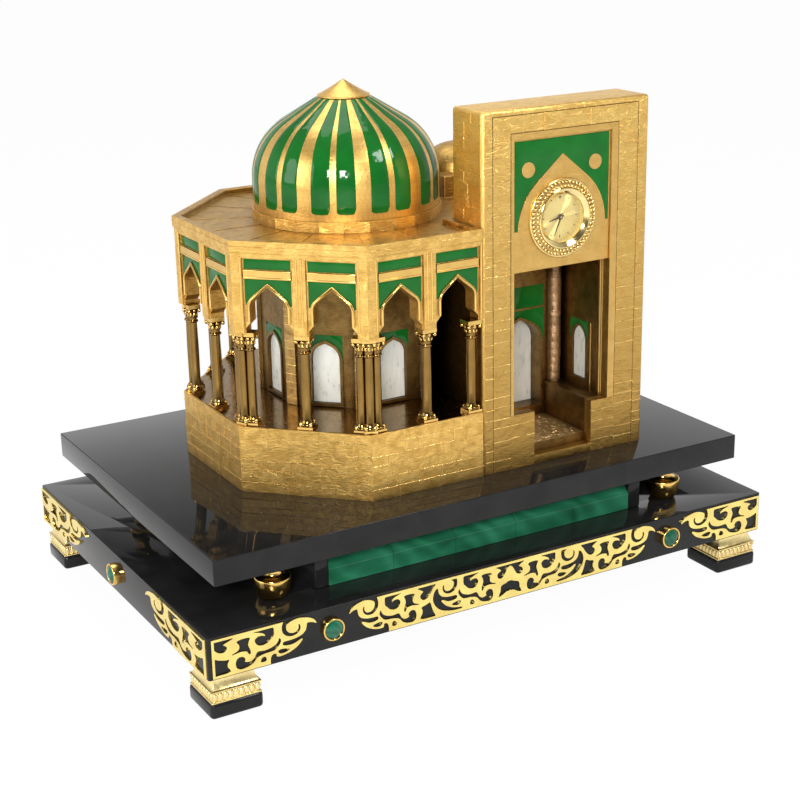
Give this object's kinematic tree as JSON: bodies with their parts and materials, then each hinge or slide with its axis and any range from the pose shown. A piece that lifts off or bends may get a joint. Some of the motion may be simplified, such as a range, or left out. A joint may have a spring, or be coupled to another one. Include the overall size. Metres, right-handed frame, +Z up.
{
  "type": "table clock",
  "caption": "Table clock: a gilt, green-enamelled domed pavilion with a portal that holds a pull-out round clock insert, on a stepped black stone stand with malachite and gilt scroll plates.",
  "frame": {"origin": "middle of the bounding box in plan, at the undersides of the feet", "axes": "+X along the stand's length to the viewer's right, -Y to the front with the dial, +Z up"},
  "size_m": [0.3084, 0.2164, 0.2461],
  "materials": {
    "black_stone": "polished to a mirror",
    "polished_gilt": "polished gilding",
    "cast_gilt": "gilt casting with a rough masonry surface",
    "malachite": "polished, banded",
    "green_enamel": "glossy fired enamel",
    "pearl": "pearly",
    "steel": "satin",
    "rubber": "matt",
    "crystal": "clear",
    "champagne": "sunburst",
    "dark_bronze": "satin",
    "wheel_brass": "satin",
    "copper": "enamelled wire",
    "knob_plastic": "matt"
  },
  "bodies": {
    "stand_and_building": {"base_slab": "black_stone", "deck_slab": "black_stone", "core_block": "black_stone", "foot_block_1": "black_stone", "foot_block_2": "black_stone", "foot_block_3": "black_stone", "foot_block_4": "black_stone", "foot_pad_1": "polished_gilt", "foot_pad_2": "polished_gilt", "foot_pad_3": "polished_gilt", "foot_pad_4": "polished_gilt", "pillar_1": "polished_gilt", "pillar_2": "polished_gilt", "pillar_3": "polished_gilt", "pillar_4": "polished_gilt", "front_plate": "polished_gilt", "back_plate": "polished_gilt", "corner_plates_1": "polished_gilt", "corner_plates_2": "polished_gilt", "corner_plates_3": "polished_gilt", "corner_plates_4": "polished_gilt", "cabochon_collars": "polished_gilt", "columns": "polished_gilt", "podium": "cast_gilt", "chamber": "cast_gilt", "arcade_front": "cast_gilt", "arcade_front_left": "cast_gilt", "arcade_left": "cast_gilt", "arcade_back_left": "cast_gilt", "arcade_back": "cast_gilt", "roof": "cast_gilt", "dome": "cast_gilt", "portal": "cast_gilt", "portal_panel": "cast_gilt", "porch": "cast_gilt", "hall": "cast_gilt", "malachite_strips": "malachite", "cabochons": "malachite", "wall_enamel": "green_enamel", "dome_enamel": "green_enamel", "panel_enamel": "green_enamel", "window_panes": "pearl"},
    "insert": {"insert_can": "steel", "gasket": "rubber", "bezel": "polished_gilt", "crystal": "crystal", "dial": "champagne", "main_plate": "steel", "train_bridge": "steel", "stator": "steel", "coil": "copper", "button_cell": "steel"},
    "centre": {"centre_wheel": "wheel_brass", "minute_hand": "dark_bronze"},
    "hour": {"hour_wheel": "wheel_brass", "hour_hand": "dark_bronze"},
    "motion": {"motion_wheel": "wheel_brass"},
    "third": {"third_wheel": "wheel_brass"},
    "rotor_arbor": {"rotor": "steel"},
    "knob": {"setting_knob": "knob_plastic"}
  },
  "joints": [
    {"name": "insert_pull", "type": "slide", "parent": "stand_and_building", "child": "insert", "axis": [0, -1, 0], "range_m": [0, 0.016]},
    {"name": "minute_turn", "type": "hinge", "parent": "insert", "child": "centre", "pos_m": [0.0499, -0.0725, 0.185], "axis": [0, 1, 0], "continuous": true},
    {"name": "hour_turn", "type": "hinge", "parent": "insert", "child": "hour", "pos_m": [0.0499, -0.0725, 0.185], "axis": [0, 1, 0], "continuous": true},
    {"name": "motion_turn", "type": "hinge", "parent": "insert", "child": "motion", "pos_m": [0.0499, -0.0725, 0.1898], "axis": [0, 1, 0], "continuous": true},
    {"name": "third_turn", "type": "hinge", "parent": "insert", "child": "third", "pos_m": [0.04574, -0.0725, 0.1826], "axis": [0, 1, 0], "continuous": true},
    {"name": "rotor_turn", "type": "hinge", "parent": "insert", "child": "rotor_arbor", "pos_m": [0.04154, -0.0725, 0.1826], "axis": [0, 1, 0], "continuous": true},
    {"name": "knob_turn", "type": "hinge", "parent": "insert", "child": "knob", "pos_m": [0.05406, -0.0725, 0.1922], "axis": [0, 1, 0], "continuous": true}
  ],
  "couplings": [
    {"joint": "hour_turn", "follows": "minute_turn", "ratio": 0.083333},
    {"joint": "motion_turn", "follows": "minute_turn", "ratio": -0.33333},
    {"joint": "third_turn", "follows": "minute_turn", "ratio": -5},
    {"joint": "rotor_turn", "follows": "minute_turn", "ratio": 30},
    {"joint": "knob_turn", "follows": "minute_turn", "ratio": 1}
  ]
}
